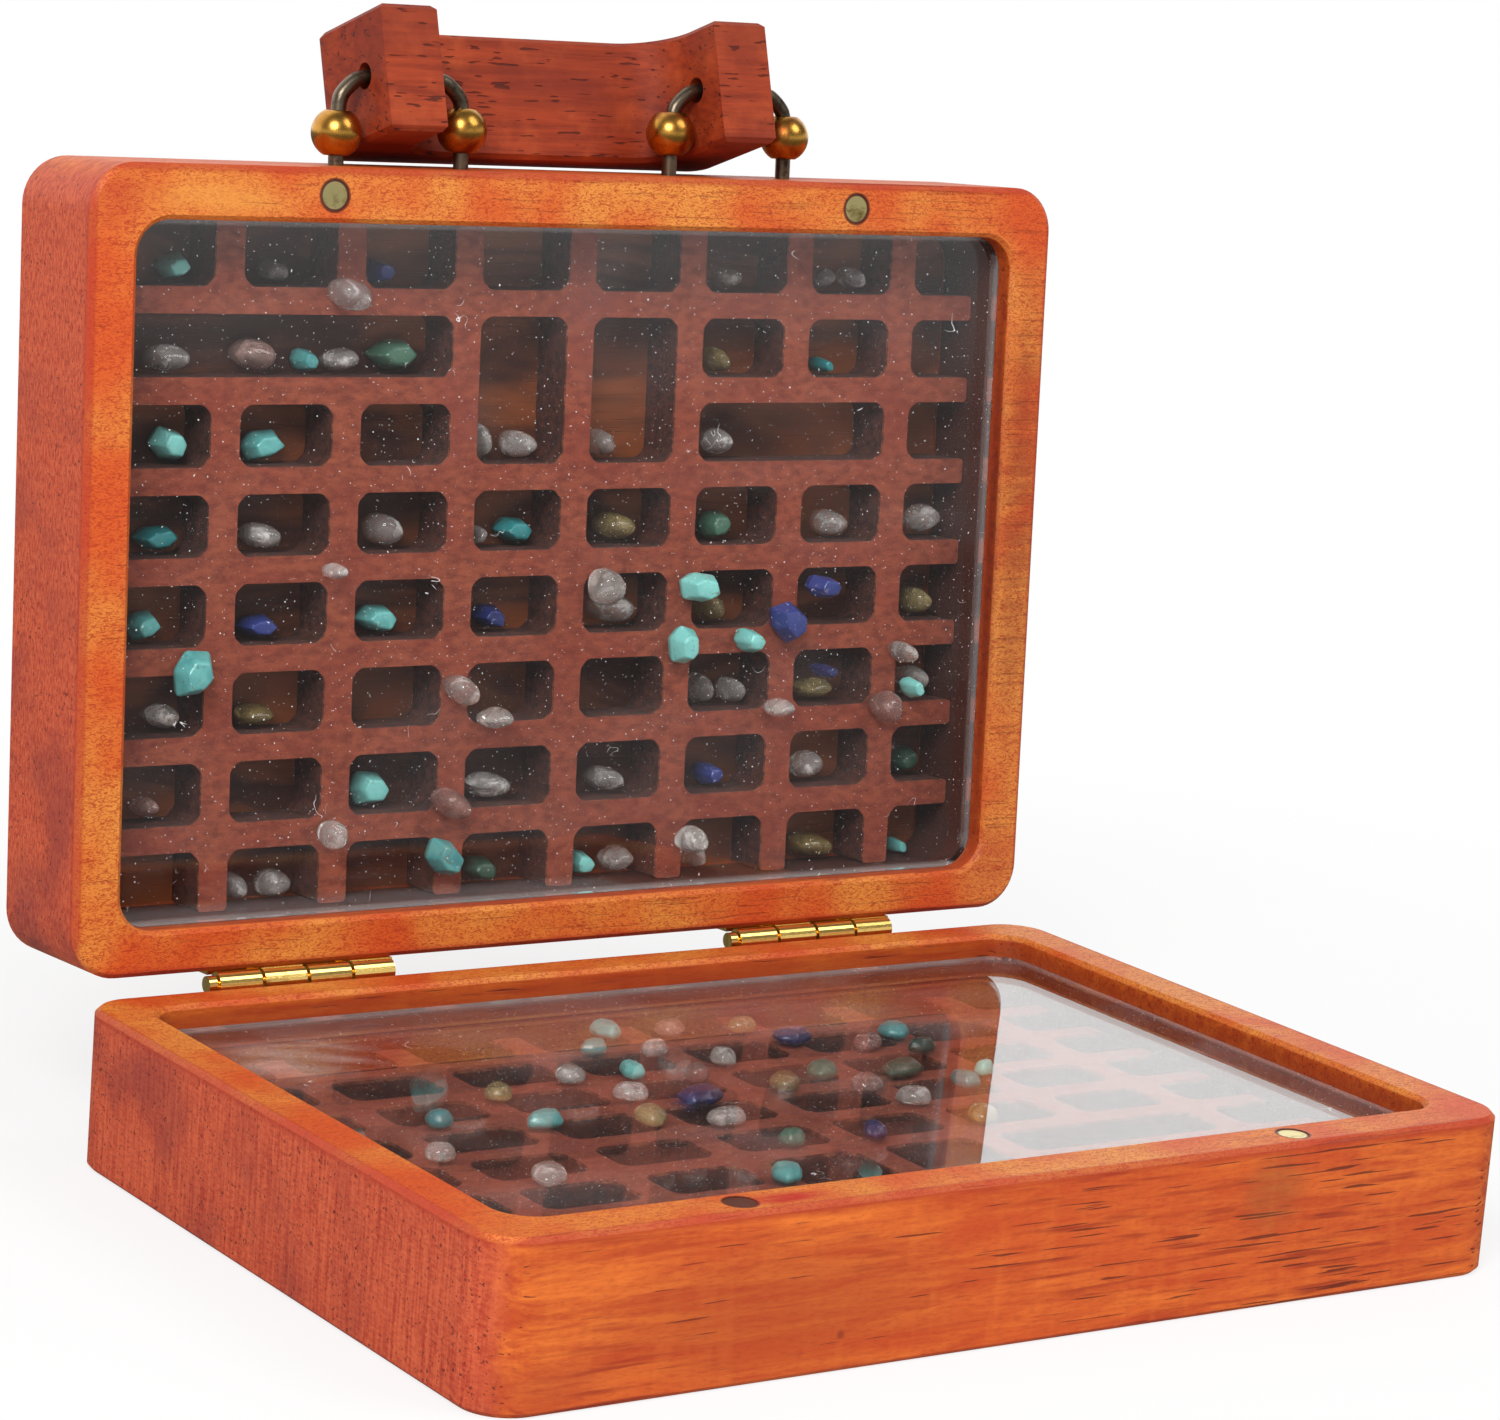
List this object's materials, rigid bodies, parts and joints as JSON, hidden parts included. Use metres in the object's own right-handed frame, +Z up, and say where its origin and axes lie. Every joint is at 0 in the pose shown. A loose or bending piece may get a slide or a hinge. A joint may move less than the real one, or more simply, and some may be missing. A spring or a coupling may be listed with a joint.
{
  "type": "mineral specimen box",
  "caption": "Small hinged wooden case standing open, mineral chips on cell boards behind recessed clear panes in both halves, wooden handle swinging on wire staples with brass beads.",
  "frame": {"origin": "middle of the base's underside", "axes": "+X to the right seen from the front, +Y to the hinge side at the rear, +Z up"},
  "size_m": [0.145, 0.133, 0.1416],
  "materials": {
    "stained_wood": "satin, orange-red stain over open straight grain",
    "handle_wood": "matt, darker red-brown stain",
    "cell_board": "matt, fuzzy milled edges",
    "clear_pane": "clear, glossy",
    "turquoise": "tumbled, satin",
    "lapis": "tumbled, satin",
    "clear_quartz": "tumbled, clear to milky",
    "rose_quartz": "tumbled, pale pink",
    "green_stone": "tumbled, satin",
    "citrine": "tumbled, pale yellow to tan",
    "magnet": "dull nickel",
    "hinge_brass": "bright brass",
    "aged_brass": "polished brass with dark orange tarnish",
    "staple_wire": "dark bronze"
  },
  "bodies": {
    "base": {"base_tray": "stained_wood", "base_grid": "cell_board", "base_pane": "clear_pane", "base_magnet_left": "magnet", "base_magnet_right": "magnet", "base_turquoise_chips": "turquoise", "base_lapis_chips": "lapis", "base_clear_quartz_chips": "clear_quartz", "base_rose_quartz_chips": "rose_quartz", "base_green_chips": "green_stone", "base_citrine_chips": "citrine", "left_hinge_base_leaf": "hinge_brass", "left_hinge_pin": "hinge_brass", "left_hinge_base_nails": "hinge_brass", "right_hinge_base_leaf": "hinge_brass", "right_hinge_pin": "hinge_brass", "right_hinge_base_nails": "hinge_brass"},
    "lid": {"lid_tray": "stained_wood", "lid_grid": "cell_board", "lid_pane": "clear_pane", "lid_magnet_left": "magnet", "lid_magnet_right": "magnet", "lid_turquoise_chips": "turquoise", "lid_lapis_chips": "lapis", "lid_clear_quartz_chips": "clear_quartz", "lid_rose_quartz_chips": "rose_quartz", "lid_green_chips": "green_stone", "lid_citrine_chips": "citrine", "left_hinge_lid_leaf": "hinge_brass", "left_hinge_lid_nails": "hinge_brass", "right_hinge_lid_leaf": "hinge_brass", "right_hinge_lid_nails": "hinge_brass", "left_staple": "staple_wire", "right_staple": "staple_wire"},
    "handle": {"handle": "handle_wood"},
    "left_outer_bead": {"left_outer_bead": "aged_brass"},
    "left_inner_bead": {"left_inner_bead": "aged_brass"},
    "right_inner_bead": {"right_inner_bead": "aged_brass"},
    "right_outer_bead": {"right_outer_bead": "aged_brass"}
  },
  "joints": [
    {"name": "lid_hinge", "type": "hinge", "parent": "base", "child": "lid", "pos_m": [0, 0.0516, 0.0202], "axis": [1, 0, 0], "range_deg": [-86.6, 93.4]},
    {"name": "handle_swing", "type": "hinge", "parent": "lid", "child": "handle", "pos_m": [0, 0.06848, 0.1323], "axis": [1, 0, 0], "range_deg": [0, 210]},
    {"name": "left_outer_bead_slide", "type": "slide", "parent": "lid", "child": "left_outer_bead", "axis": [0, 0.0593, 0.9982], "range_m": [-0.0008, 0.0014]},
    {"name": "left_inner_bead_slide", "type": "slide", "parent": "lid", "child": "left_inner_bead", "axis": [0, 0.0593, 0.9982], "range_m": [-0.0016, 0.0006]},
    {"name": "right_inner_bead_slide", "type": "slide", "parent": "lid", "child": "right_inner_bead", "axis": [0, 0.0593, 0.9982], "range_m": [-0.0022, 0]},
    {"name": "right_outer_bead_slide", "type": "slide", "parent": "lid", "child": "right_outer_bead", "axis": [0, 0.0593, 0.9982], "range_m": [-0.0022, 0]}
  ]
}
